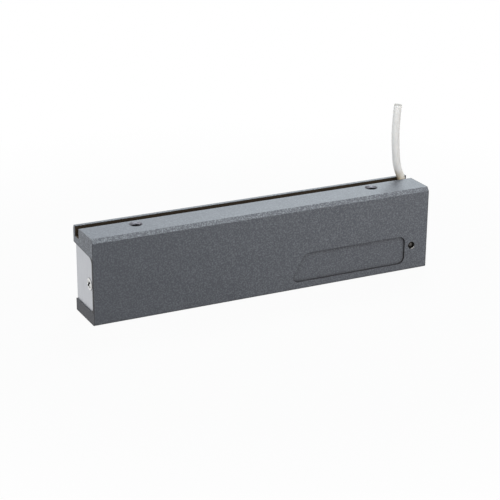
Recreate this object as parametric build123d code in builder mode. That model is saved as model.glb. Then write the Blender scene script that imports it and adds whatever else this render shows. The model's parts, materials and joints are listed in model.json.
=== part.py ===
from build123d import *
from math import radians, tan
import os

# Frame: X runs along the length, the front faces -Y, Z is up, the origin is under the middle of the housing

# Housing channel
length = 170.0
height = 40.0
depth = 22.8
front_wall = 1.2
sill_thickness = 5.7
sill_setback = 1.2
flange_thickness = 7.9
flange_taper = 1.2
inner_radius = 2.8
bottom_radius = 0.8
edge_radius = 0.25
flange_edge_radius = 0.6
front_chamfer_depth = 1.5
front_chamfer_drop = 1.8

# Cable groove along the top, with the rim behind it
groove_width = 4.4
groove_depth = 4.7
rim_width = 2.2
rim_chamfer_depth = 0.6
rim_chamfer_drop = 1.6

# Tapped mounting holes in the top land
mount_spacing = 120.0
mount_from_front = 11.4
mount_radius = 2.5
mount_chamfer = 0.55

# Sunk panel on the front
panel_length = 61.7
panel_height = 13.8
panel_slant = 8.2
panel_from_end = 12.2
panel_from_bottom = 3.6
panel_floor = 0.5
panel_low_left_radius = 2.5
panel_top_left_radius = 4.0
panel_right_radius = 3.3

# End plates, each set into the channel and held by one raised countersunk tapping screw
plate_recess = 0.5
plate_thickness = 1.6
plate_clearance = 0.1
plate_setback = 0.5
screw_from_front = 5.5
screw_drop = 0.4
screw_length = 9.5
screw_radius = 1.45
screw_tip_length = 2.0
screw_tip_radius = 0.4
screw_head_radius = 2.75
screw_head_land = 0.2
screw_head_stand = 0.15
screw_head_dome = 0.35
screw_recess_length = 3.8
screw_recess_width = 1.0
screw_recess_turn = 45.0
screw_recess_depth = 1.2
screw_recess_taper = 8.0
thread_clearance = 0.05
port_wall = 1.5

# Magnet: E-shaped core, and a coil around its middle pole
end_turn_gap = 1.7
yoke_thickness = 4.6
outer_pole = 4.2
slot_width = 4.2
bobbin_wall = 0.6
bobbin_corner_radius = 0.5
winding_gap = 0.3
resin_cover = 0.8

# Circuit board behind the indicator
board_width = 12.6
board_thickness = 1.6
board_edge_gap = 0.6
board_end_gap = 0.6
board_coil_gap = 1.9
solder_length = 0.9
component_standoff = 0.5
lead_bend_radius = 0.6

# Indicator lamp
led_from_end = 8.5
led_port_gap = 0.8
led_radius = 1.45
led_clearance = 0.1
led_mouth_chamfer = 0.2
led_recess = 0.3
led_lens_length = 4.3
led_rim_radius = 1.9
led_rim_thickness = 1.0
led_pitch = 2.54
led_lead_radius = 0.25

# Parts on the board, placed across from its middle and from its lower or upper edge
diode_across = -2.4
diode_from_low_edge = 4.4
diode_radius = 1.35
diode_length = 5.2
diode_pitch = 6.8
diode_lead_radius = 0.35
resistor_across = 4.6
resistor_from_low_edge = 4.4
resistor_radius = 1.15
resistor_length = 5.4
resistor_pitch = 6.8
resistor_lead_radius = 0.3
varistor_across = -1.4
varistor_from_high_edge = 3.4
varistor_radius = 3.5
varistor_thickness = 3.2
varistor_pitch = 5.0
varistor_lead_radius = 0.3

# Wires from the coil and from the cable to the board
coil_lead_radius = 0.5
coil_lead_pitch = 4.0
coil_lead_inset = 1.9
coil_lead_bend = 1.5
wire_radius = 0.65
wire_pitch = 1.5
wire_drop = 4.0
wire_bend = 2.5

# Supply cable: it rises from a hole in the groove, leans to the left and ends in a square cut
cable_radius = 1.9
cable_clearance = 0.25
cable_plate_gap = 0.2
cable_tail_length = 5.0
cable_steps = [(0.0, 0.0, 0.0), (0.0, 0.0, 7.7), (-3.6, 0.0, 18.9), (-4.1, 0.0, 32.0), (-3.5, 0.0, 44.7)]

# Planes and levels worked out from the sizes
front = -depth / 2
back = depth / 2
wall_back = front + front_wall
sill_back = back - sill_setback
flange_under = height - flange_thickness
opening = flange_under - flange_taper - sill_thickness
middle_z = sill_thickness + opening / 2
groove_floor = height - groove_depth
groove_back = back - rim_width
groove_front = groove_back - groove_width
groove_y = groove_back - groove_width / 2
plate_seat = length / 2 - plate_recess - plate_thickness
plate_back = sill_back - plate_setback
plate_front = wall_back + plate_clearance
plate_low = sill_thickness + plate_clearance
screw_y = front + screw_from_front
screw_z = middle_z - screw_drop
head_top = screw_head_stand + screw_head_dome
port_bore = screw_radius + thread_clearance
port_half = port_bore + port_wall
port_back = screw_y + port_half
board_end = plate_seat - board_end_gap
board_start = board_end - board_width
board_x = (board_start + board_end) / 2
board_back = port_back + board_thickness
board_height = opening - 2 * board_edge_gap
diode_place = (diode_across, diode_from_low_edge - board_height / 2)
resistor_place = (resistor_across, resistor_from_low_edge - board_height / 2)
varistor_place = (varistor_across, board_height / 2 - varistor_from_high_edge)
coil_build = slot_width - winding_gap
coil_end = board_start - board_coil_gap
core_start = end_turn_gap + coil_build - plate_seat
core_end = coil_end - coil_build
core_length = core_end - core_start
core_middle = (core_start + core_end) / 2
yoke_back = port_back + yoke_thickness
middle_pole = opening - 2 * (outer_pole + slot_width)
bobbin_back = plate_back - resin_cover
led_x = length / 2 - led_from_end
led_z = screw_z - port_half - led_port_gap - led_rim_radius
led_tip = front + led_recess
led_base = led_tip + led_lens_length + led_rim_thickness
cable_x = plate_seat - cable_plate_gap - cable_radius


def facing_front(x, y, z):
    """Plane with its normal towards the front: local x is X, local y is Z."""
    return Plane(origin=(x, y, z), x_dir=(1, 0, 0), z_dir=(0, -1, 0))


def under_flange(y):
    """Height of the flange's sloping underside, which is lowest at the front wall."""
    return flange_under - flange_taper * (back - y) / (back - wall_back)


def port_outline(mode=Mode.ADD):
    """Section of the screw port without its bore, in the sketch that calls this."""
    with Locations(((wall_back + port_back) / 2, screw_z)):
        Rectangle(port_back - wall_back, 2 * port_half, mode=mode)


def upright_pads(place, pitch):
    """The two pads of a part that stands along Z, as (x, z) from the board's middle."""
    x, z = place
    return [(x, z - pitch / 2), (x, z + pitch / 2)]


def axial_part(place, body_radius, body_length, pitch, lead_radius):
    """Round body held off the board along Z, with both leads bent into the board."""
    x = board_x + place[0]
    low = middle_z + place[1] - pitch / 2
    high = low + pitch
    axis_y = board_back + component_standoff + body_radius
    with BuildPart() as component:
        with BuildSketch(Plane.XY.offset((low + high - body_length) / 2)):
            with Locations((x, axis_y)):
                Circle(body_radius)
        extrude(amount=body_length)
        with BuildLine():
            lead = FilletPolyline(
                (x, port_back, low),
                (x, axis_y, low),
                (x, axis_y, high),
                (x, port_back, high),
                radius=lead_bend_radius,
            )
        with BuildSketch(Plane(origin=lead @ 0, z_dir=lead % 0)):
            Circle(lead_radius)
        sweep()
    return component


def bend_radii(points):
    """Largest bend that the two runs beside each corner leave room for."""
    radii = []
    for before, corner, after in zip(points, points[1:], points[2:]):
        arriving = Vector(*corner) - Vector(*before)
        leaving = Vector(*after) - Vector(*corner)
        half_turn = radians(arriving.get_angle(leaving) / 2)
        radii.append(0.45 * min(arriving.length, leaving.length) / tan(half_turn))
    return radii


os.makedirs("parts", exist_ok=True)

# Housing: extruded channel with the cable groove, the screw port inside, and the drilled and milled features
with BuildPart() as housing:
    with BuildSketch(Plane.YZ) as section:
        with BuildLine():
            Polyline(
                (front, 0),
                (sill_back, 0),
                (sill_back, sill_thickness),
                (wall_back, sill_thickness),
                (wall_back, under_flange(wall_back)),
                (back, flange_under),
                (back, height - rim_chamfer_drop),
                (back - rim_chamfer_depth, height),
                (groove_back, height),
                (groove_back, groove_floor),
                (groove_front, groove_floor),
                (groove_front, height),
                (front + front_chamfer_depth, height),
                (front, height - front_chamfer_drop),
                close=True,
            )
        make_face()
        for corner in ((wall_back, sill_thickness), (wall_back, under_flange(wall_back))):
            fillet(section.vertices().sort_by_distance(corner)[0], inner_radius)
        fillet(section.vertices().sort_by_distance((front, 0))[0], bottom_radius)
        fillet(section.vertices().sort_by_distance((back, flange_under))[0], flange_edge_radius)
        for corner in (
            (sill_back, 0),
            (sill_back, sill_thickness),
            (groove_back, height),
            (groove_front, height),
        ):
            fillet(section.vertices().sort_by_distance(corner)[0], edge_radius)
    extrude(amount=length / 2, both=True)
    with BuildSketch(Plane.YZ):
        port_outline()
        with Locations((screw_y, screw_z)):
            Circle(port_bore, mode=Mode.SUBTRACT)
    extrude(amount=plate_seat, both=True)
    with Locations(*[(side * mount_spacing / 2, front + mount_from_front, height) for side in (-1, 1)]):
        CounterSinkHole(
            mount_radius,
            mount_radius + mount_chamfer,
            depth=flange_thickness + flange_taper,
            counter_sink_angle=90,
        )
    with Locations((cable_x, groove_y, groove_floor)):
        Hole(cable_radius + cable_clearance, depth=groove_floor - flange_under + flange_taper)
    with Locations(facing_front(led_x, front, led_z)):
        CounterSinkHole(
            led_radius + led_clearance,
            led_radius + led_clearance + led_mouth_chamfer,
            depth=front_wall + inner_radius,
            counter_sink_angle=90,
        )
    with BuildSketch(facing_front(length / 2 - panel_from_end, front, panel_from_bottom)) as panel:
        with BuildLine():
            Polyline(
                (0, 0),
                (0, panel_height),
                (panel_slant - panel_length, panel_height),
                (-panel_length, 0),
                close=True,
            )
        make_face()
        for corner, radius in (
            ((0, 0), panel_right_radius),
            ((0, panel_height), panel_right_radius),
            ((-panel_length, 0), panel_low_left_radius),
            ((panel_slant - panel_length, panel_height), panel_top_left_radius),
        ):
            fillet(panel.vertices().sort_by_distance(corner)[0], radius)
    extrude(amount=panel_floor - front_wall, mode=Mode.SUBTRACT)
housing.part.label = "housing"
export_step(housing.part, "parts/housing.step")

# End plates and their screws, one pair at each end
for side, end in (("left", -1), ("right", 1)):
    outer_face = Plane(origin=(end * (length / 2 - plate_recess), screw_y, screw_z), z_dir=(end, 0, 0))

    with BuildPart() as end_plate:
        with BuildSketch(Plane.YZ.offset(end * plate_seat)) as outline:
            with BuildLine():
                Polyline(
                    (plate_front, plate_low),
                    (plate_back, plate_low),
                    (plate_back, under_flange(plate_back) - plate_clearance),
                    (plate_front, under_flange(plate_front) - plate_clearance),
                    close=True,
                )
            make_face()
            fillet(outline.vertices().group_by(Axis.X)[0], inner_radius)
        extrude(amount=end * plate_thickness)
        with Locations(outer_face):
            CounterSinkHole(
                port_bore,
                screw_head_radius + screw_head_land,
                depth=plate_thickness,
                counter_sink_angle=90,
            )
    end_plate.part.label = f"end_plate_{side}"
    export_step(end_plate.part, f"parts/end_plate_{side}.step")

    with BuildPart() as end_screw:
        with BuildSketch(Plane(origin=outer_face.origin, x_dir=(0, 0, 1), z_dir=(0, end, 0))):
            with BuildLine():
                TangentArc((0, head_top), (screw_head_radius, screw_head_stand), tangent=(1, 0))
                Polyline(
                    (screw_head_radius, screw_head_stand),
                    (screw_head_radius, -screw_head_land),
                    (screw_radius, screw_radius - screw_head_radius - screw_head_land),
                    (screw_radius, screw_tip_length - screw_length),
                    (screw_tip_radius, -screw_length),
                    (0, -screw_length),
                    (0, head_top),
                )
            make_face()
        revolve(axis=Axis(outer_face.origin, (1, 0, 0)))
        with BuildSketch(outer_face.offset(head_top)):
            for turn in (screw_recess_turn, screw_recess_turn + 90):
                Rectangle(screw_recess_length, screw_recess_width, rotation=turn)
        extrude(amount=-screw_recess_depth, taper=screw_recess_taper, mode=Mode.SUBTRACT)
    end_screw.part.label = f"end_screw_{side}"
    export_step(end_screw.part, f"parts/end_screw_{side}.step")

# Core: stack of E-shaped laminations, its three poles facing the back
with BuildPart() as core:
    with BuildSketch(Plane.YZ.offset(core_start)):
        with Locations(((port_back + back) / 2, middle_z)):
            Rectangle(back - port_back, opening)
        slot_from_middle = (middle_pole + slot_width) / 2
        with Locations(*[((yoke_back + back) / 2, middle_z + side * slot_from_middle) for side in (-1, 1)]):
            Rectangle(back - yoke_back, slot_width, mode=Mode.SUBTRACT)
    extrude(amount=core_length)
core.part.label = "core"
export_step(core.part, "parts/core.step")

# Bobbin: moulded frame around the middle pole, with a flange at the yoke and one at the open side
with BuildPart() as bobbin:
    for start, thickness, reach in (
        (yoke_back, bobbin_wall, coil_build),
        (yoke_back + bobbin_wall, bobbin_back - yoke_back - 2 * bobbin_wall, bobbin_wall),
        (bobbin_back - bobbin_wall, bobbin_wall, coil_build),
    ):
        with BuildSketch(facing_front(core_middle, start, middle_z)):
            RectangleRounded(core_length + 2 * reach, middle_pole + 2 * reach, reach + bobbin_corner_radius)
            Rectangle(core_length, middle_pole, mode=Mode.SUBTRACT)
        extrude(amount=-thickness)
bobbin.part.label = "bobbin"
export_step(bobbin.part, "parts/bobbin.step")

# Winding: the coil's turns as one solid between the bobbin's flanges
with BuildPart() as winding:
    with BuildSketch(facing_front(core_middle, yoke_back + bobbin_wall, middle_z)):
        for reach, fill in ((coil_build, Mode.ADD), (bobbin_wall, Mode.SUBTRACT)):
            RectangleRounded(
                core_length + 2 * reach,
                middle_pole + 2 * reach,
                reach + bobbin_corner_radius,
                mode=fill,
            )
    extrude(amount=2 * bobbin_wall + yoke_back - bobbin_back)
winding.part.label = "winding"
export_step(winding.part, "parts/winding.step")

# Circuit board: stands on the back of the screw port, drilled for the leads
led_pads = upright_pads((led_x - board_x, led_z - middle_z), led_pitch)
diode_pads = upright_pads(diode_place, diode_pitch)
resistor_pads = upright_pads(resistor_place, resistor_pitch)
varistor_pads = [(varistor_place[0] + side * varistor_pitch / 2, varistor_place[1]) for side in (-1, 1)]
with BuildPart() as circuit_board:
    with BuildSketch(facing_front(board_x, port_back, middle_z)):
        Rectangle(board_width, board_height)
        for pads, radius in (
            (led_pads, led_lead_radius),
            (diode_pads, diode_lead_radius),
            (resistor_pads, resistor_lead_radius),
            (varistor_pads, varistor_lead_radius),
        ):
            with Locations(*pads):
                Circle(radius, mode=Mode.SUBTRACT)
    extrude(amount=-board_thickness)
circuit_board.part.label = "circuit_board"
export_step(circuit_board.part, "parts/circuit_board.step")

# Indicator lamp: domed lens in the front wall's hole, two leads through the board
with BuildPart() as indicator_led:
    with BuildSketch(Plane(origin=(led_x, led_tip, led_z), x_dir=(1, 0, 0), z_dir=(0, 0, 1))):
        with BuildLine():
            Line((0, 0), (0, led_lens_length + led_rim_thickness))
            Polyline(
                (0, led_lens_length + led_rim_thickness),
                (led_rim_radius, led_lens_length + led_rim_thickness),
                (led_rim_radius, led_lens_length),
                (led_radius, led_lens_length),
                (led_radius, led_radius),
            )
            RadiusArc((led_radius, led_radius), (0, 0), led_radius)
        make_face()
    revolve(axis=Axis((led_x, led_tip, led_z), (0, 1, 0)))
    with BuildSketch(facing_front(board_x, led_base, middle_z)):
        with Locations(*led_pads):
            Circle(led_lead_radius)
    extrude(amount=led_base - board_back - solder_length)
indicator_led.part.label = "indicator_led"
export_step(indicator_led.part, "parts/indicator_led.step")

# Diode across the coil
diode = axial_part(diode_place, diode_radius, diode_length, diode_pitch, diode_lead_radius)
diode.part.label = "diode"
export_step(diode.part, "parts/diode.step")

# Resistor in series with the indicator
resistor = axial_part(resistor_place, resistor_radius, resistor_length, resistor_pitch, resistor_lead_radius)
resistor.part.label = "resistor"
export_step(resistor.part, "parts/resistor.step")

# Varistor: a coated disc on two straight leads
with BuildPart() as varistor:
    disc_y = board_back + component_standoff + varistor_radius
    with BuildSketch(Plane.XY.offset(middle_z + varistor_place[1] - varistor_thickness / 2)):
        with Locations((board_x + varistor_place[0], disc_y)):
            Circle(varistor_radius)
    extrude(amount=varistor_thickness)
    with BuildSketch(facing_front(board_x, port_back, middle_z)):
        with Locations(*varistor_pads):
            Circle(varistor_lead_radius)
    extrude(amount=port_back - disc_y)
varistor.part.label = "varistor"
export_step(varistor.part, "parts/varistor.step")

# Coil leads: from the end turn to the board
coil_leads = []
coil_lead_y = (yoke_back + bobbin_back) / 2
for name, side in (("start", -1), ("finish", 1)):
    with BuildPart() as coil_lead:
        lead_z = middle_z + side * coil_lead_pitch / 2
        lead_x = board_start + coil_lead_inset
        with BuildLine():
            path = FilletPolyline(
                (coil_end, coil_lead_y, lead_z),
                (lead_x, coil_lead_y, lead_z),
                (lead_x, board_back, lead_z),
                radius=coil_lead_bend,
            )
        with BuildSketch(Plane(origin=path @ 0, z_dir=path % 0)):
            Circle(coil_lead_radius)
        sweep()
    coil_lead.part.label = f"coil_lead_{name}"
    export_step(coil_lead.part, f"parts/coil_lead_{name}.step")
    coil_leads.append(coil_lead)

# Cable tail: the sheathed end of the cable inside the housing
with BuildPart() as cable_tail:
    with BuildSketch(Plane.XY.offset(flange_under - cable_tail_length)):
        with Locations((cable_x, groove_y)):
            Circle(cable_radius)
    extrude(amount=cable_tail_length)
cable_tail.part.label = "cable_tail"
export_step(cable_tail.part, "parts/cable_tail.step")

# Supply wires: the cable's two cores, from the tail to the board
supply_wires = []
for name, side in (("positive", -1), ("negative", 1)):
    with BuildPart() as supply_wire:
        wire_x = cable_x + side * wire_pitch / 2
        wire_top = flange_under - cable_tail_length
        with BuildLine():
            path = FilletPolyline(
                (wire_x, groove_y, wire_top),
                (wire_x, groove_y, wire_top - wire_drop),
                (wire_x, board_back, wire_top - wire_drop),
                radius=wire_bend,
            )
        with BuildSketch(Plane(origin=path @ 0, z_dir=path % 0)):
            Circle(wire_radius)
        sweep()
    supply_wire.part.label = f"supply_wire_{name}"
    export_step(supply_wire.part, f"parts/supply_wire_{name}.step")
    supply_wires.append(supply_wire)

# Potting: resin cast around everything inside the channel, clear of the mounting holes
magnet_parts = [core, bobbin, winding]
board_parts = [circuit_board, indicator_led, diode, resistor, varistor]
wiring = [*coil_leads, *supply_wires, cable_tail]
with BuildPart() as potting:
    with BuildSketch(Plane.YZ):
        with BuildLine():
            Polyline(
                (wall_back, sill_thickness),
                (plate_back, sill_thickness),
                (plate_back, under_flange(plate_back)),
                (wall_back, under_flange(wall_back)),
                close=True,
            )
        make_face()
        port_outline(Mode.SUBTRACT)
    extrude(amount=plate_seat, both=True)
    add([piece.part for piece in (housing, *magnet_parts, *board_parts, *wiring)], mode=Mode.SUBTRACT)
    with Locations(*[(side * mount_spacing / 2, front + mount_from_front, flange_under) for side in (-1, 1)]):
        Hole(mount_radius, depth=flange_taper)
potting.part.label = "potting"
export_step(potting.part, "parts/potting.step")

# Supply cable: its free length, from the underside of the flange up through the groove
cable_route = [(cable_x + x, groove_y + y, flange_under + z) for x, y, z in cable_steps]
cable_radii = bend_radii(cable_route)
with BuildPart() as cable:
    with BuildLine():
        cable_path = FilletPolyline(*cable_route, radius=cable_radii)
    with BuildSketch(Plane(origin=cable_path @ 0, z_dir=cable_path % 0)) as cable_section:
        Circle(cable_radius)
    sweep()
cable.part.label = "cable"
export_step(cable.part, "parts/cable.step")
print("cable radii", [round(radius, 1) for radius in cable_radii])
print("cable length", round(cable_path.length, 2))
print("cable volume", round(cable.part.volume, 2))
print("cable section times length", round(cable_section.sketch.area * cable_path.length, 2))
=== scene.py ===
import json
from math import pi

import bmesh
import bpy
from mathutils import Matrix, Vector


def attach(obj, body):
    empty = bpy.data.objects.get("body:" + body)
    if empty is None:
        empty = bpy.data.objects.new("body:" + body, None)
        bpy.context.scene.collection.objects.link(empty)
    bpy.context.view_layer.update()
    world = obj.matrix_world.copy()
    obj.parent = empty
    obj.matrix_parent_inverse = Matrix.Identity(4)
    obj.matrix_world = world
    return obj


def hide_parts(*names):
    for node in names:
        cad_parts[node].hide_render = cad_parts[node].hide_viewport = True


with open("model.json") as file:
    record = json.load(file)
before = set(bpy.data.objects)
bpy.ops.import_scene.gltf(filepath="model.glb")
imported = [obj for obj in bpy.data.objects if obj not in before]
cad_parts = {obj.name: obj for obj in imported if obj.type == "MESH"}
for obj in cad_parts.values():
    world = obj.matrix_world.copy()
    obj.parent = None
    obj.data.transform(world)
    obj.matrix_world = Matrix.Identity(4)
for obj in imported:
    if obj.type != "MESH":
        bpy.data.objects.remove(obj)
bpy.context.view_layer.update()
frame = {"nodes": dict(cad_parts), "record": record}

scene = bpy.context.scene
MM = 0.001

# Camera: the photograph's place and lens, found from the housing's edges
PHOTO_PIXELS = 500
FOCAL_PIXELS = 1568.7
SENSOR_MM = 36.0
CAMERA_PLACE = (-306.48, -603.06, 271.87)
CAMERA_RIGHT = Vector((0.89491, -0.44618, 0.00755))
CAMERA_UP = Vector((0.15037, 0.31746, 0.93627))

lens = bpy.data.cameras.new("photo_camera")
lens.sensor_width = SENSOR_MM
lens.lens = SENSOR_MM * FOCAL_PIXELS / PHOTO_PIXELS
camera = bpy.data.objects.new("photo_camera", lens)
scene.collection.objects.link(camera)
camera_back = CAMERA_RIGHT.cross(CAMERA_UP)
camera_turn = Matrix((CAMERA_RIGHT, CAMERA_UP, camera_back)).transposed().to_4x4()
camera.matrix_world = Matrix.Translation(Vector(CAMERA_PLACE) * MM) @ camera_turn
scene.camera = camera
scene.view_settings.view_transform = "Standard"

# Sizes of the CAD model that the finishes and the new pieces are set to, in millimetres
END = 85.0
FRONT = -11.4
BACK = 11.4
TOP = 40.0
FLANGE_UNDER = 32.1
FLANGE_SLOPE = 1.2 / 21.6
SILL_TOP = 5.7
GROOVE_Y = 7.0
GROOVE_WIDTH = 4.4
GROOVE_FLOOR = 35.3
MOUNT_X = 60.0
MOUNT_Y = 0.0
MOUNT_RADIUS = 2.5
MOUNT_MOUTH_RADIUS = 3.05
LAMP_X = 76.5
LAMP_Z = 12.2
LAMP_MOUTH_RADIUS = 1.75
PANEL_RIGHT = 72.8
PANEL_LEFT = 11.1
PANEL_LOW = 3.6
PANEL_HIGH = 17.4
PANEL_DEPTH = 0.7
CABLE_RADIUS = 1.9
CABLE_ROUTE = [
    (80.8, 7.0, 32.1),
    (80.94, 7.0, 35.6),
    (81.15, 7.0, 39.6),
    (78.05, 7.0, 46.0),
    (76.93, 7.0, 56.0),
    (76.56, 7.0, 67.0),
    (77.38, 7.0, 76.7),
]

# Sockets of a Mix node that is set to colours
FACTOR, FIRST, SECOND, MIXED = 0, 6, 7, 2


def linear(hex_colour):
    """An sRGB hex colour as linear RGBA."""
    channels = [int(hex_colour[i:i + 2], 16) / 255 for i in (1, 3, 5)]
    return tuple(c / 12.92 if c <= 0.04045 else ((c + 0.055) / 1.055) ** 2.4 for c in channels) + (1.0,)


def add(tree, kind, inputs=None, **settings):
    """One node with its settings. An input is a constant or another node's output."""
    made = tree.nodes.new(kind)
    for name, value in settings.items():
        setattr(made, name, value)
    for socket, value in (inputs or {}).items():
        if isinstance(value, bpy.types.NodeSocket):
            tree.links.new(value, made.inputs[socket])
        else:
            made.inputs[socket].default_value = value
    return made


def start_material(name):
    """A material's tree, its shader, the piece's own coordinates in millimetres, and its own normals."""
    material = bpy.data.materials.new(name)
    material.use_nodes = True
    tree = material.node_tree
    tree.nodes.clear()
    shader = add(tree, "ShaderNodeBsdfPrincipled")
    add(tree, "ShaderNodeOutputMaterial", {"Surface": shader.outputs[0]})
    place = add(tree, "ShaderNodeTexCoord")
    in_mm = add(tree, "ShaderNodeMapping", {"Vector": place.outputs["Object"], "Scale": (1 / MM,) * 3})
    return material, tree, shader, in_mm.outputs[0], place.outputs["Normal"]


# Powder-coated aluminium: grey polyester powder, sprayed and baked. Its sandy grain breaks the light into
# speckles, painted here as light flecks coarser than the real grain so that they show. Painted shade darkens
# the corners, the groove, the sawn ends and the holes, a thin dark line runs along the sawn edges, and
# drilled holes show bare metal, with a painted highlight at the lamp hole's rim
COAT_GRAIN_MM = 0.66
COAT_CLOUD_MM = 14.0
GROOVE_STREAK_MM = (9.0, 0.4, 0.4)
CORNER_REACH_MM = 1.5
# Where the painted highlight lies on the lamp hole's rim: its reach and its way
LAMP_HIGHLIGHT_REACH = 1.5
LAMP_HIGHLIGHT_WAY = (0.52, 0, -0.85)
HOLE_DARK_FROM_MM = (0.9, 1.6)
EDGE_DARKENING = 0.55
COAT_RELIEF_MM = 0.12

coat, tree, shader, in_mm, facing = start_material("powder_coated_aluminium")
x, y, z = add(tree, "ShaderNodeSeparateXYZ", {0: in_mm}).outputs
faced = add(tree, "ShaderNodeSeparateXYZ", {0: facing}).outputs

# The film, and painted glints of its grain, which show less on the top and on the front, least at the front's
# left
cloud = add(tree, "ShaderNodeTexNoise", {"Vector": in_mm, "Scale": 1 / COAT_CLOUD_MM, "Detail": 2.0})
film = add(
    tree, "ShaderNodeMix",
    {FACTOR: cloud.outputs[0], FIRST: linear("#5b5e65"), SECOND: linear("#63666d")},
    data_type="RGBA",
)
grain = add(tree, "ShaderNodeTexNoise", {"Vector": in_mm, "Scale": 1 / COAT_GRAIN_MM, "Detail": 1.0})
speckle = add(tree, "ShaderNodeMapRange", {"Value": grain.outputs[0], "From Min": 0.42, "From Max": 0.78})
on_top = add(
    tree, "ShaderNodeMapRange",
    {"Value": faced[2], "From Min": 0.8, "From Max": 1.0, "To Min": 0.84, "To Max": 0.28},
)
along = add(
    tree, "ShaderNodeMapRange",
    {"Value": x, "From Min": -END, "From Max": 0, "To Min": 0.4, "To Max": 0.58},
)
upright = add(tree, "ShaderNodeMath", {0: faced[1]}, operation="ABSOLUTE")
on_front = add(
    tree, "ShaderNodeMapRange",
    {
        "Value": upright.outputs[0], "From Min": 0.8, "From Max": 1.0,
        "To Min": 1.0, "To Max": along.outputs[0],
    },
)
shown = add(tree, "ShaderNodeMath", {0: on_top.outputs[0], 1: on_front.outputs[0]}, operation="MULTIPLY")
painted_glint = add(tree, "ShaderNodeMath", {0: speckle.outputs[0], 1: shown.outputs[0]}, operation="MULTIPLY")

# Painted shade in the groove: dark brown, with streaks along it
streaks = add(
    tree, "ShaderNodeMapping",
    {"Vector": in_mm, "Scale": [1 / size for size in GROOVE_STREAK_MM]},
)
drawn = add(tree, "ShaderNodeTexNoise", {"Vector": streaks.outputs[0], "Scale": 1.0, "Detail": 2.0})
groove_painted_shade = add(
    tree, "ShaderNodeMix",
    {FACTOR: drawn.outputs[0], FIRST: linear("#1c150c"), SECOND: linear("#46392a")},
    data_type="RGBA",
)

# Places on the housing: each is where one or more bands, measured in millimetres, come together
either_end = add(tree, "ShaderNodeMath", {0: x}, operation="ABSOLUTE").outputs[0]
from_above = add(tree, "ShaderNodeCombineXYZ", {0: either_end, 1: y})
from_hole = add(
    tree, "ShaderNodeVectorMath",
    {0: from_above.outputs[0], 1: (MOUNT_X, MOUNT_Y, 0)},
    operation="DISTANCE",
)
from_front = add(tree, "ShaderNodeCombineXYZ", {0: x, 2: z})
to_lamp = add(
    tree, "ShaderNodeVectorMath",
    {0: from_front.outputs[0], 1: (LAMP_X, 0, LAMP_Z)},
    operation="SUBTRACT",
)
from_lamp = add(tree, "ShaderNodeVectorMath", {0: to_lamp.outputs[0]}, operation="LENGTH")
to_highlight = add(
    tree, "ShaderNodeVectorMath",
    {0: to_lamp.outputs[0], 1: LAMP_HIGHLIGHT_WAY},
    operation="DOT_PRODUCT",
)
level = add(tree, "ShaderNodeMath", {0: y, 1: -FLANGE_SLOPE, 2: z}, operation="MULTIPLY_ADD").outputs[0]
under = FLANGE_UNDER - FLANGE_SLOPE * BACK
bands = {
    "groove_across": (y, GROOVE_Y - GROOVE_WIDTH / 2 - 0.03, GROOVE_Y + GROOVE_WIDTH / 2 + 0.03),
    "groove_down": (z, GROOVE_FLOOR - 0.02, TOP - 0.22),
    "panel_along": (x, PANEL_LEFT - 0.1, PANEL_RIGHT + 0.1),
    "panel_deep": (y, FRONT + 0.02, FRONT + PANEL_DEPTH - 0.02),
    "panel_up": (z, PANEL_LOW - 0.1, PANEL_HIGH + 0.1),
    "sawn": (either_end, END - 0.03, END + 0.03),
    "sawn_edge": (either_end, END - 0.3, END - 0.03),
    "below_flange": (level, -2.0, under),
    "above_sill": (z, SILL_TOP, FLANGE_UNDER),
    "flange_lip": (level, under - 0.1, under + 0.4),
    "in_flange": (z, FLANGE_UNDER - 1, TOP + 1),
    "hole": (from_hole.outputs["Value"], -1.0, MOUNT_MOUTH_RADIUS + 0.03),
    "lamp": (from_lamp.outputs["Value"], -1.0, LAMP_MOUTH_RADIUS + 0.03),
    "lamp_mouth": (y, FRONT - 1, FRONT + 2),
    "lamp_rim": (from_lamp.outputs["Value"], LAMP_MOUTH_RADIUS - 0.08, LAMP_MOUTH_RADIUS + 0.14),
    "lamp_highlight_side": (to_highlight.outputs["Value"], LAMP_HIGHLIGHT_REACH, LAMP_HIGHLIGHT_REACH + 1),
}
within = {}
for name, (value, low, high) in bands.items():
    band = add(
        tree, "ShaderNodeMath",
        {0: value, 1: (low + high) / 2, 2: (high - low) / 2},
        operation="COMPARE",
    )
    within[name] = band.outputs[0]
places = {}
for name, shared in (
    ("groove", ("groove_across", "groove_down")),
    ("panel_wall", ("panel_along", "panel_deep", "panel_up")),
    ("panel_box", ("panel_along", "panel_up")),
    ("shaded_low_end", ("sawn", "below_flange")),
    ("shaded_wall_end", ("sawn", "above_sill", "below_flange")),
    ("lip", ("sawn", "flange_lip")),
    ("hole", ("hole", "in_flange")),
    ("shaded_lamp_hole", ("lamp", "lamp_mouth")),
    ("lamp_highlight", ("lamp_rim", "lamp_mouth", "lamp_highlight_side")),
):
    mask = within[shared[0]]
    for other in shared[1:]:
        mask = add(tree, "ShaderNodeMath", {0: mask, 1: within[other]}, operation="MULTIPLY").outputs[0]
    places[name] = mask

# Bare metal; a thin dark line along the sawn edges, worn coat with painted shade, and a painted shadow line
# along the flange's lower edge at each end; painted shade in inner corners, darkest in the panel
bare = add(tree, "ShaderNodeMath", {0: places["hole"], 1: places["lamp_highlight"]}, operation="MAXIMUM").outputs[0]
worn_and_shadowed = add(tree, "ShaderNodeMath", {0: within["sawn_edge"], 1: places["lip"]}, operation="MAXIMUM").outputs[0]
edge = add(tree, "ShaderNodeMath", {0: worn_and_shadowed, 1: EDGE_DARKENING}, operation="MULTIPLY").outputs[0]
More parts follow.
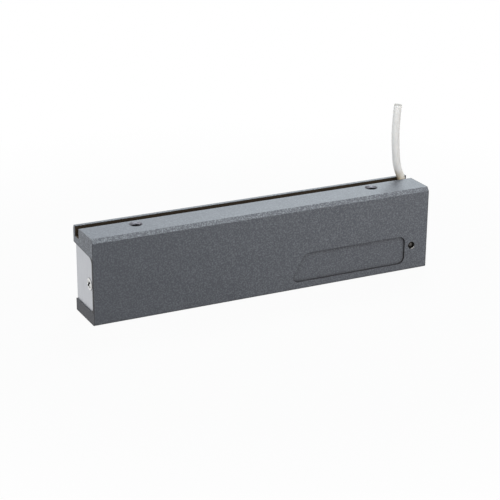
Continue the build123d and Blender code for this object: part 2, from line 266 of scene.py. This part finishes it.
# painted shade in inner corners, from the AO node: full strength in the panel, 0.3 of it elsewhere
openness = add(tree, "ShaderNodeAmbientOcclusion", {"Distance": CORNER_REACH_MM * MM}, samples=8)
inner = add(
    tree, "ShaderNodeMapRange",
    {"Value": openness.outputs["AO"], "From Min": 0.55, "From Max": 0.95, "To Min": 0.75, "To Max": 0.0},
)
deep = add(tree, "ShaderNodeMapRange", {"Value": places["panel_box"], "To Min": 0.3, "To Max": 1.0})
painted_corner_shade = add(tree, "ShaderNodeMath", {0: inner.outputs[0], 1: deep.outputs[0]}, operation="MULTIPLY")

# The mounting holes' walls: painted shade, dark from a little way down
hole_top, hole_dark = (TOP - depth for depth in HOLE_DARK_FROM_MM)
lit = add(tree, "ShaderNodeMapRange", {"Value": z, "From Min": hole_dark, "From Max": hole_top})
hole_painted_shade = add(
    tree, "ShaderNodeMix",
    {FACTOR: lit.outputs[0], FIRST: linear("#17171a"), SECOND: linear("#64646a")},
    data_type="RGBA",
)

# The film, with each place's tint laid over it in turn
surface = film.outputs[MIXED]
for mask, tint in (
    # painted glints: light flecks of the grain
    (painted_glint.outputs[0], linear("#9ca1a6")),
    # painted shade: the sawn end below the flange is darker than the flange's end
    (places["shaded_low_end"], linear("#3f4045")),
    # painted shade, near black, on the walls' sawn ends between the sill and the flange, beside the end plate
    (places["shaded_wall_end"], linear("#18181a")),
    # a thin dark line along the sawn edges, worn coat and painted shade, and a painted shadow along each
    # flange end's lower edge
    (edge, linear("#2b2a2a")),
    # painted shade in inner corners
    (painted_corner_shade.outputs[0], linear("#262423")),
    (places["panel_wall"], linear("#2a2729")),
    # painted shade in the groove
    (places["groove"], groove_painted_shade.outputs[MIXED]),
    # painted shade, near black, in the indicator lamp's hole
    (places["shaded_lamp_hole"], linear("#161413")),
    # painted shade in the mounting holes
    (places["hole"], hole_painted_shade.outputs[MIXED]),
    # painted highlight: bright bare metal on the lower right of the lamp hole's rim
    (places["lamp_highlight"], linear("#b3b1ad")),
):
    layer = add(tree, "ShaderNodeMix", {FACTOR: mask, FIRST: surface, SECOND: tint}, data_type="RGBA")
    surface = layer.outputs[MIXED]
gloss = add(tree, "ShaderNodeMapRange", {"Value": bare, "To Min": 0.55, "To Max": 0.45})
relief = add(
    tree, "ShaderNodeBump",
    {"Height": grain.outputs[0], "Strength": 0.8, "Distance": COAT_RELIEF_MM * MM},
)
shader.inputs["Specular IOR Level"].default_value = 0.4
for socket, value in (
    ("Base Color", surface),
    ("Metallic", bare),
    ("Roughness", gloss.outputs[0]),
    ("Normal", relief.outputs[0]),
):
    tree.links.new(value, shader.inputs[socket])

# How far light goes into pale plastic: shares of red, green and blue, and millimetres
SCATTER_SHARES = (1.0, 0.9, 0.8)
SCATTER_MM = 0.8


def metal(name, dull, bright, roughness, streak_mm, relief_mm, seam_mm=None, recess_mm=None):
    """A worked metal: streaks along the way that it was rolled or ground, seams where sheets are stacked, and
    painted shade in recesses."""
    material, tree, shader, in_mm, _ = start_material(name)
    stretched = add(tree, "ShaderNodeMapping", {"Vector": in_mm, "Scale": [1 / size for size in streak_mm]})
    streaks = add(tree, "ShaderNodeTexNoise", {"Vector": stretched.outputs[0], "Scale": 1.0, "Detail": 3.0})
    colour = add(
        tree, "ShaderNodeMix",
        {FACTOR: streaks.outputs[0], FIRST: linear(dull), SECOND: linear(bright)},
        data_type="RGBA",
    )
    gloss = add(
        tree, "ShaderNodeMapRange",
        {"Value": streaks.outputs[0], "To Min": roughness + 0.06, "To Max": roughness - 0.06},
    )
    height = streaks.outputs[0]
    tint = colour.outputs[MIXED]
    if seam_mm:
        sheets = add(
            tree, "ShaderNodeTexWave",
            {"Vector": in_mm, "Scale": pi / (10 * seam_mm), "Distortion": 0.0},
            wave_type="BANDS", bands_direction="X", wave_profile="SIN",
        )
        seam = add(tree, "ShaderNodeMapRange", {"Value": sheets.outputs["Fac"], "From Max": 0.12})
        dark = add(
            tree, "ShaderNodeMix",
            {FACTOR: seam.outputs[0], FIRST: linear("#4b4845"), SECOND: tint},
            data_type="RGBA",
        )
        tint = dark.outputs[MIXED]
        height = seam.outputs[0]
    if recess_mm:
        # painted shade: darker where the AO node finds nearby surfaces
        openness = add(tree, "ShaderNodeAmbientOcclusion", {"Distance": recess_mm * MM}, samples=8)
        unshaded = add(
            tree, "ShaderNodeMapRange",
            {"Value": openness.outputs["AO"], "From Min": 0.45, "From Max": 0.8},
        )
        recess_shaded = add(
            tree, "ShaderNodeMix",
            {FACTOR: unshaded.outputs[0], FIRST: linear("#33302d"), SECOND: tint},
            data_type="RGBA",
        )
        tint = recess_shaded.outputs[MIXED]
    relief = add(tree, "ShaderNodeBump", {"Height": height, "Strength": 0.4, "Distance": relief_mm * MM})
    shader.inputs["Metallic"].default_value = 1.0
    tree.links.new(tint, shader.inputs["Base Color"])
    tree.links.new(gloss.outputs[0], shader.inputs["Roughness"])
    tree.links.new(relief.outputs[0], shader.inputs["Normal"])
    return material


def plastic(name, shade, tint, roughness, grain_mm, relief_mm, scatter=0.0):
    """A moulded, cast, dipped or extruded surface: a slow change of shade and a fine unevenness."""
    material, tree, shader, in_mm, _ = start_material(name)
    grain = add(tree, "ShaderNodeTexNoise", {"Vector": in_mm, "Scale": 1 / grain_mm, "Detail": 3.0})
    colour = add(
        tree, "ShaderNodeMix",
        {FACTOR: grain.outputs[0], FIRST: linear(shade), SECOND: linear(tint)},
        data_type="RGBA",
    )
    relief = add(
        tree, "ShaderNodeBump",
        {"Height": grain.outputs[0], "Strength": 0.3, "Distance": relief_mm * MM},
    )
    shader.inputs["Roughness"].default_value = roughness
    if scatter:
        shader.inputs["Subsurface Weight"].default_value = scatter
        shader.inputs["Subsurface Radius"].default_value = SCATTER_SHARES
        shader.inputs["Subsurface Scale"].default_value = SCATTER_MM * MM
    tree.links.new(colour.outputs[MIXED], shader.inputs["Base Color"])
    tree.links.new(relief.outputs[0], shader.inputs["Normal"])
    return material


# White PVC sheath, extruded: smooth, slightly see-through at its edge, greyer where it is cut, and yellowed
# by glue at its foot; painted shade makes the foot yellower on its left side and brown at its far left
GLUED_FROM, GLUED_TO = 38.5, 45.0
GLUE_SMEAR_MM = 2.0
SHEATH_DRAW_MM = 1.2
SHEATH_RELIEF_MM = 0.05

sheath, tree, shader, in_mm, facing = start_material("extruded_white_pvc")
height = add(tree, "ShaderNodeSeparateXYZ", {0: in_mm}).outputs[2]
faced = add(tree, "ShaderNodeSeparateXYZ", {0: facing}).outputs
foot = add(
    tree, "ShaderNodeMapRange",
    {"Value": height, "From Min": GLUED_FROM, "From Max": GLUED_TO, "To Min": 1.0, "To Max": 0.0},
)
# painted shade: the glue stain is made stronger on the cable's left side
left = add(
    tree, "ShaderNodeMapRange",
    {"Value": faced[0], "From Min": -0.9, "From Max": 0.6, "To Min": 1.4, "To Max": 0.9},
)
smear = add(tree, "ShaderNodeTexNoise", {"Vector": in_mm, "Scale": 1 / GLUE_SMEAR_MM, "Detail": 2.0})
glue_and_shade = add(tree, "ShaderNodeMath", {0: foot.outputs[0], 1: left.outputs[0]}, operation="MULTIPLY")
patchy = add(tree, "ShaderNodeMath", {0: glue_and_shade.outputs[0], 1: smear.outputs[0]}, operation="MULTIPLY")
yellowed = add(
    tree, "ShaderNodeMix",
    {FACTOR: patchy.outputs[0], FIRST: linear("#fdfbf8"), SECOND: linear("#dcc070")},
    data_type="RGBA",
)
# painted shade, with the glue stain: brown on the far left of the foot
far_left = add(
    tree, "ShaderNodeMapRange",
    {"Value": faced[0], "From Min": -0.98, "From Max": -0.75, "To Min": 1.0, "To Max": 0.0},
)
far_left_shade = add(tree, "ShaderNodeMath", {0: foot.outputs[0], 1: far_left.outputs[0]}, operation="MULTIPLY")
glue_stain_and_shade = add(
    tree, "ShaderNodeMix",
    {FACTOR: far_left_shade.outputs[0], FIRST: yellowed.outputs[MIXED], SECOND: linear("#6b4a28")},
    data_type="RGBA",
)
cut = add(tree, "ShaderNodeMapRange", {"Value": faced[2], "From Min": 0.35, "From Max": 0.6})
ended = add(
    tree, "ShaderNodeMix",
    {FACTOR: cut.outputs[0], FIRST: glue_stain_and_shade.outputs[MIXED], SECOND: linear("#a8a6a3")},
    data_type="RGBA",
)
draw = add(tree, "ShaderNodeTexNoise", {"Vector": in_mm, "Scale": 1 / SHEATH_DRAW_MM, "Detail": 2.0})
relief = add(
    tree, "ShaderNodeBump",
    {"Height": draw.outputs[0], "Strength": 0.2, "Distance": SHEATH_RELIEF_MM * MM},
)
shader.inputs["Roughness"].default_value = 0.42
shader.inputs["Subsurface Weight"].default_value = 0.15
shader.inputs["Subsurface Radius"].default_value = SCATTER_SHARES
shader.inputs["Subsurface Scale"].default_value = SCATTER_MM * MM
tree.links.new(ended.outputs[MIXED], shader.inputs["Base Color"])
tree.links.new(relief.outputs[0], shader.inputs["Normal"])

# The finishes by the record's slots, each with what it gives the eye
finishes = {
    "powder_coat": coat,
    # Rolled aluminium, satin: soft pale reflections, drawn out along the rolling
    "satin_aluminium": metal("satin_rolled_aluminium", "#b0b2b7", "#c2c4c8", 0.4, (0.6, 0.6, 9.0), 0.01),
    # Zinc plate on a pressed head: bright and a little uneven, with painted shade in the cross recess
    "bright_steel": metal(
        "zinc_plated_steel", "#c9cacb", "#e2e2e0", 0.22, (0.8, 0.8, 0.8), 0.01, recess_mm=1.2,
    ),
    # Laminations ground flat: fine scratches along the poles and a dark seam between sheets, which are drawn
    # thicker than real ones so that they show
    "core_steel": metal(
        "ground_lamination_steel", "#8f9092", "#a9aaab", 0.34, (12.0, 0.5, 0.25), 0.02, seam_mm=1.0,
    ),
    # Moulded nylon: warm white, half matt, slightly see-through
    "bobbin_plastic": plastic("moulded_nylon", "#cfccc2", "#dbd8cf", 0.5, 1.5, 0.02, 0.1),
    # Enamelled copper: a warm shine in fine lines
    "copper": metal("enamelled_copper_wire", "#9c5a34", "#b56f44", 0.3, (0.4, 0.4, 5.0), 0.05),
    # Cast epoxy: black and glossy, with the slow waves of a poured level
    "potting_resin": plastic("cast_black_epoxy", "#141415", "#1c1c1e", 0.28, 5.0, 0.25),
    # Solder mask: green, smooth, half gloss
    "board": plastic("green_solder_mask", "#1b5634", "#23663f", 0.35, 2.0, 0.02),
    # Epoxy lens, smoked: dark and smooth
    "lamp_lens": plastic("smoked_epoxy_lens", "#37332e", "#45403a", 0.28, 0.8, 0.01),
    # Lacquered ceramic: sandy, half gloss
    "resistor_body": plastic("lacquered_ceramic", "#b7a377", "#c6b388", 0.35, 0.8, 0.02),
    # Moulded epoxy: black and matt
    "diode_body": plastic("moulded_black_epoxy", "#17181a", "#202123", 0.45, 0.6, 0.02),
    # Dipped epoxy: blue and glossy, a little uneven
    "varistor_body": plastic("dipped_blue_epoxy", "#1f4a83", "#2b5a96", 0.3, 1.2, 0.04),
    # Extruded PVC insulation: even colour, half matt
    "red_insulation": plastic("red_pvc_insulation", "#a3201d", "#b42b26", 0.45, 0.8, 0.02),
    "black_insulation": plastic("black_pvc_insulation", "#1a1a1b", "#242425", 0.45, 0.8, 0.02),
    "cable_sheath": sheath,
}
for part in frame["record"]["subparts"]:
    node = frame["nodes"][part["node"]]
    node.data.materials.clear()
    node.data.materials.append(finishes[part["material_slot"]])


def settle(piece, slot):
    """A finished piece takes its slot's material and moves with the lock."""
    piece.data.materials.clear()
    piece.data.materials.append(finishes[slot])
    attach(piece, "root")
    return piece


def mesh_piece(name, shape, slot, smooth=True):
    """The finished bmesh as a piece of the lock."""
    mesh = bpy.data.meshes.new(name)
    shape.to_mesh(mesh)
    shape.free()
    for face in mesh.polygons:
        face.use_smooth = smooth
    piece = bpy.data.objects.new(name, mesh)
    scene.collection.objects.link(piece)
    return settle(piece, slot)


def closed_outline(shape, points):
    """A closed outline in the XZ plane, in millimetres: its vertices and edges."""
    corners = [shape.verts.new((across * MM, 0, height * MM)) for across, height in points]
    edges = [shape.edges.new((corners[i - 1], corners[i])) for i in range(len(corners))]
    return corners + edges


def close_seams(shape):
    """Doubles merged, then the faces turned outwards."""
    bmesh.ops.remove_doubles(shape, verts=shape.verts, dist=1e-7)
    bmesh.ops.recalc_face_normals(shape, faces=shape.faces)


def spin_round(shape, outline, steps):
    """The outline turned once around the Z axis."""
    bmesh.ops.spin(
        shape, geom=outline, cent=(0, 0, 0), axis=(0, 0, 1), dvec=(0, 0, 0), angle=2 * pi, steps=steps,
        use_merge=True,
    )
    close_seams(shape)


# Supply cable: an extruded sheath around two stranded cores, cut square at its free end
SHEATH_WALL = 0.5
line = bpy.data.curves.new("supply_cable", "CURVE")
line.dimensions = "3D"
line.bevel_depth = CABLE_RADIUS * MM
line.bevel_resolution = 6
line.resolution_u = 16
spline = line.splines.new("NURBS")
spline.points.add(len(CABLE_ROUTE) - 1)
for point, place in zip(spline.points, CABLE_ROUTE):
    point.co = (*(Vector(place) * MM), 1.0)
spline.order_u = 3
spline.use_endpoint_u = True
cable = bpy.data.objects.new("supply_cable", line)
scene.collection.objects.link(cable)
wall = cable.modifiers.new("sheath_wall", "SOLIDIFY")
wall.thickness = SHEATH_WALL * MM
wall.offset = -1.0
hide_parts("cable")
settle(cable, "cable_sheath")

# The two cores end a little below the cut: insulation around seven copper strands each
CORE_RADIUS = 0.64
CORE_GAP = 0.02
STRAND_RADIUS = 0.11
STRAND_SPACING = 2.05 * STRAND_RADIUS
BUNDLE_RADIUS = 3.2 * STRAND_RADIUS
CORE_LENGTH = 9.0
CORE_BELOW_CUT = 1.6
STRAND_ABOVE_CORE = 0.25
cable_end = Vector(CABLE_ROUTE[-1])
out = (cable_end - Vector(CABLE_ROUTE[-2])).normalized()
side = Vector((0, 1, 0)).cross(out)
turned = out.to_track_quat("Z", "Y").to_matrix().to_4x4()
for name, slot, way in (("positive", "red_insulation", -1), ("negative", "black_insulation", 1)):
    core_top = cable_end - out * CORE_BELOW_CUT + side * (way * (CORE_RADIUS + CORE_GAP))
    core_place = Matrix.Translation(core_top * MM) @ turned

    shape = bmesh.new()
    outline = closed_outline(shape, (
        (BUNDLE_RADIUS, -CORE_LENGTH),
        (CORE_RADIUS, -CORE_LENGTH),
        (CORE_RADIUS, 0),
        (BUNDLE_RADIUS, 0),
    ))
    spin_round(shape, outline, 20)
    bmesh.ops.transform(shape, matrix=core_place, verts=shape.verts)
    mesh_piece(f"cable_core_{name}", shape, slot, smooth=False)

    shape = bmesh.new()
    strand_length = CORE_LENGTH + STRAND_ABOVE_CORE
    spread = [(0, 0)] + [(STRAND_SPACING, turn * pi / 3) for turn in range(6)]
    for reach, angle in spread:
        foot = Matrix.Rotation(angle, 4, "Z") @ Vector((reach, 0, STRAND_ABOVE_CORE - strand_length / 2))
        bmesh.ops.create_cone(
            shape, cap_ends=True, segments=8, radius1=STRAND_RADIUS * MM, radius2=STRAND_RADIUS * MM,
            depth=strand_length * MM, matrix=Matrix.Translation(foot * MM),
        )
    bmesh.ops.transform(shape, matrix=core_place, verts=shape.verts)
    mesh_piece(f"cable_strands_{name}", shape, "copper", smooth=False)

# Glue around the cable's foot: a low bead that fills the groove and climbs the sheath
GLUE_PLACE = Vector((80.85, GROOVE_Y, 0))
shape = bmesh.new()
outline = closed_outline(shape, (
    (CABLE_RADIUS - 0.5, GROOVE_FLOOR + 0.05),
    (2.17, GROOVE_FLOOR + 0.05),
    (2.17, 36.4),
    (2.13, 37.0),
    (2.04, 37.4),
    (CABLE_RADIUS - 0.1, 37.7),
    (CABLE_RADIUS - 0.5, 37.5),
))
spin_round(shape, outline, 40)
bmesh.ops.translate(shape, vec=GLUE_PLACE * MM, verts=shape.verts)
mesh_piece("cable_glue", shape, "cable_sheath")

# Threads of the two mounting holes: one ridge that winds down the wall
THREAD_PITCH = 1.0
THREAD_TURNS = 7
THREAD_STEPS = 28
THREAD_CREST = MOUNT_RADIUS - 0.22
THREAD_ROOT = MOUNT_RADIUS + 0.04
THREAD_HALF_FOOT = 0.42 * THREAD_PITCH
THREAD_HALF_FLAT = 0.06 * THREAD_PITCH
THREAD_TOP = TOP - 0.7
for name, way in (("left", -1), ("right", 1)):
    shape = bmesh.new()
    outline = closed_outline(shape, (
        (THREAD_ROOT, THREAD_HALF_FOOT),
        (THREAD_CREST, THREAD_HALF_FLAT),
        (THREAD_CREST, -THREAD_HALF_FLAT),
        (THREAD_ROOT, -THREAD_HALF_FOOT),
    ))
    shape.faces.new([part for part in outline if isinstance(part, bmesh.types.BMVert)])
    bmesh.ops.spin(
        shape, geom=outline, cent=(0, 0, 0), axis=(0, 0, 1), dvec=(0, 0, -THREAD_PITCH * MM / THREAD_STEPS),
        angle=2 * pi * THREAD_TURNS, steps=THREAD_STEPS * THREAD_TURNS,
    )
    bmesh.ops.holes_fill(shape, edges=shape.edges, sides=4)
    close_seams(shape)
    bmesh.ops.translate(shape, vec=Vector((way * MOUNT_X, MOUNT_Y, THREAD_TOP)) * MM, verts=shape.verts)
    mesh_piece(f"mounting_thread_{name}", shape, "powder_coat", smooth=False)


def seen_share(tree):
    """1 for rays that show a thing straight, in a mirror or through glass, and 0 for the rest."""
    path = add(tree, "ShaderNodeLightPath").outputs
    mirrored = add(
        tree, "ShaderNodeMath",
        {0: path["Is Camera Ray"], 1: path["Is Glossy Ray"]},
        operation="MAXIMUM",
    )
    seen = add(
        tree, "ShaderNodeMath",
        {0: mirrored.outputs[0], 1: path["Is Transmission Ray"]},
        operation="MAXIMUM",
    )
    return seen.outputs[0]


# Floor: a pale table that looks white from the camera and still takes a faint shadow near the lock
FLOOR_SIZE = 6.0
SHADOW_FROM, SHADOW_TO = 0.14, 0.28
FLOOR_WHITENESS = 0.955
paint = bpy.data.materials.new("pale_table")
paint.use_nodes = True
tree = paint.node_tree
tree.nodes.clear()
place = add(tree, "ShaderNodeTexCoord")
away = add(tree, "ShaderNodeVectorMath", {0: place.outputs["Object"]}, operation="LENGTH").outputs["Value"]
whiteness = add(
    tree, "ShaderNodeMapRange",
    {
        "Value": away, "From Min": SHADOW_FROM, "From Max": SHADOW_TO,
        "To Min": FLOOR_WHITENESS, "To Max": 1.0,
    },
)
share = add(tree, "ShaderNodeMath", {0: seen_share(tree), 1: whiteness.outputs[0]}, operation="MULTIPLY")
matt = add(tree, "ShaderNodeBsdfDiffuse", {"Color": linear("#9a9a9a")})
white = add(tree, "ShaderNodeEmission", {"Color": (1, 1, 1, 1), "Strength": 1.0})
both = add(tree, "ShaderNodeMixShader", {0: share.outputs[0], 1: matt.outputs[0], 2: white.outputs[0]})
add(tree, "ShaderNodeOutputMaterial", {"Surface": both.outputs[0]})

shape = bmesh.new()
bmesh.ops.create_grid(shape, x_segments=1, y_segments=1, size=FLOOR_SIZE / 2)
mesh = bpy.data.meshes.new("floor")
shape.to_mesh(mesh)
shape.free()
mesh.materials.append(paint)
floor = bpy.data.objects.new("floor", mesh)
scene.collection.objects.link(floor)

# Light: an even white room, a key lamp behind the cable, one above the front, and fills at the front right
# and the left end
ROOM_LIGHT = 0.04
world = bpy.data.worlds.new("studio")
world.use_nodes = True
tree = world.node_tree
tree.nodes.clear()
strength = add(tree, "ShaderNodeMapRange", {"Value": seen_share(tree), "To Min": ROOM_LIGHT, "To Max": 1.0})
sky = add(tree, "ShaderNodeBackground", {"Color": (1, 1, 1, 1), "Strength": strength.outputs[0]})
add(tree, "ShaderNodeOutputWorld", {"Surface": sky.outputs[0]})
scene.world = world

for name, place, target, size, power, tint in (
    ("behind_cable", (0.30, 0.36, 0.55), (0.02, 0.0, 0.04), 0.22, 3.95, "#f3fdff"),
    ("above_front", (-0.04, -0.20, 0.65), (0.0, 0.0, 0.03), 0.35, 2.6, "#f6fdff"),
    ("front_right", (0.16, -0.24, 0.17), (0.07, 0.0, 0.03), 0.20, 0.34, "#fff9f6"),
    ("left_end", (-0.50, 0.05, 0.30), (-0.085, 0.0, 0.03), 0.35, 1.5, "#ffffff"),
):
    lamp = bpy.data.lights.new(name, "AREA")
    lamp.shape = "SQUARE"
    lamp.size = size
    lamp.energy = power
    lamp.color = linear(tint)[:3]
    stand = bpy.data.objects.new(name, lamp)
    stand.location = place
    stand.visible_camera = False
    stand.rotation_euler = (Vector(target) - Vector(place)).to_track_quat("-Z", "Y").to_euler()
    scene.collection.objects.link(stand)
